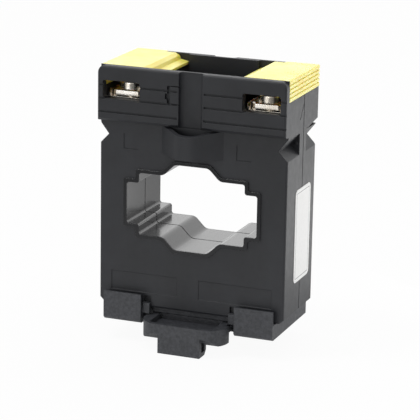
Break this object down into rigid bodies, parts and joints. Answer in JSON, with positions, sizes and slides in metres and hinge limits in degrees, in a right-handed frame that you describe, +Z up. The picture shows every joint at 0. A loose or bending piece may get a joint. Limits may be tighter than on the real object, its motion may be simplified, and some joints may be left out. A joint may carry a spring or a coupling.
{
  "type": "current transformer",
  "caption": "Moulded-case window current transformer with stepped bar window, covered screw terminals and a spring slide foot for a top-hat rail.",
  "frame": {"origin": "middle of the rail seat, under the rail clip base", "axes": "+X to the right seen from the front, -Y out of the front face, +Z up through the head"},
  "size_m": [0.0708, 0.0484, 0.1005],
  "materials": {
    "case_black": "satin, moulded",
    "clip_black": "matte, fine texture",
    "cover_yellow": "satin yellow",
    "nickel": "bright nickel plate",
    "steel": "zinc plated",
    "spring_steel": "drawn wire",
    "core_iron": "wound electrical steel strip",
    "insulation": "polyester film",
    "winding": "enamelled copper wire",
    "tape": "polyester tape",
    "lead": "insulated lead",
    "label": "white film, bare"
  },
  "bodies": {
    "case": {"front_housing": "case_black", "rear_housing": "case_black", "left_terminal_plate": "nickel", "right_terminal_plate": "nickel", "left_terminal_nut": "steel", "right_terminal_nut": "steel", "left_lead_wire": "lead", "right_lead_wire": "lead", "iron_core": "core_iron", "core_insulation": "insulation", "secondary_winding": "winding", "winding_tape": "tape", "rail_clip_base": "clip_black", "slide_spring": "spring_steel", "rating_label": "label"},
    "rail_slide": {"rail_slide": "clip_black"},
    "left_cover": {"left_terminal_cover": "cover_yellow"},
    "left_clamp": {"left_clamp_washer": "nickel"},
    "left_screw": {"left_terminal_screw": "nickel"},
    "right_cover": {"right_terminal_cover": "cover_yellow"},
    "right_clamp": {"right_clamp_washer": "nickel"},
    "right_screw": {"right_terminal_screw": "nickel"}
  },
  "joints": [
    {"name": "left_cover_hinge", "type": "hinge", "parent": "case", "child": "left_cover", "pos_m": [-0.0175, 0, 0.0896], "axis": [0, 1, 0], "range_deg": [0, 90]},
    {"name": "left_clamp_lift", "type": "slide", "parent": "case", "child": "left_clamp", "axis": [0, 0, 1], "range_m": [0, 0.0024]},
    {"name": "left_screw_turn", "type": "hinge", "parent": "left_clamp", "child": "left_screw", "pos_m": [-0.0262, -0.008, 0.0829], "axis": [0, 0, 1], "range_deg": [0, 1080]},
    {"name": "right_cover_hinge", "type": "hinge", "parent": "case", "child": "right_cover", "pos_m": [0.0175, 0, 0.0896], "axis": [0, -1, 0], "range_deg": [0, 90]},
    {"name": "right_clamp_lift", "type": "slide", "parent": "case", "child": "right_clamp", "axis": [0, 0, 1], "range_m": [0, 0.0024]},
    {"name": "right_screw_turn", "type": "hinge", "parent": "right_clamp", "child": "right_screw", "pos_m": [0.0262, -0.008, 0.0829], "axis": [0, 0, 1], "range_deg": [0, 1080]},
    {"name": "rail_slide_pull", "type": "slide", "parent": "case", "child": "rail_slide", "axis": [0, -1, 0], "range_m": [0, 0.003], "stiffness_N_per_m": 1500, "springref_m": -0.002, "deforming": ["slide_spring"]}
  ],
  "couplings": [
    {"joint": "left_screw_turn", "follows": "left_clamp_lift", "rad_per_m": 7854},
    {"joint": "right_screw_turn", "follows": "right_clamp_lift", "rad_per_m": 7854}
  ]
}
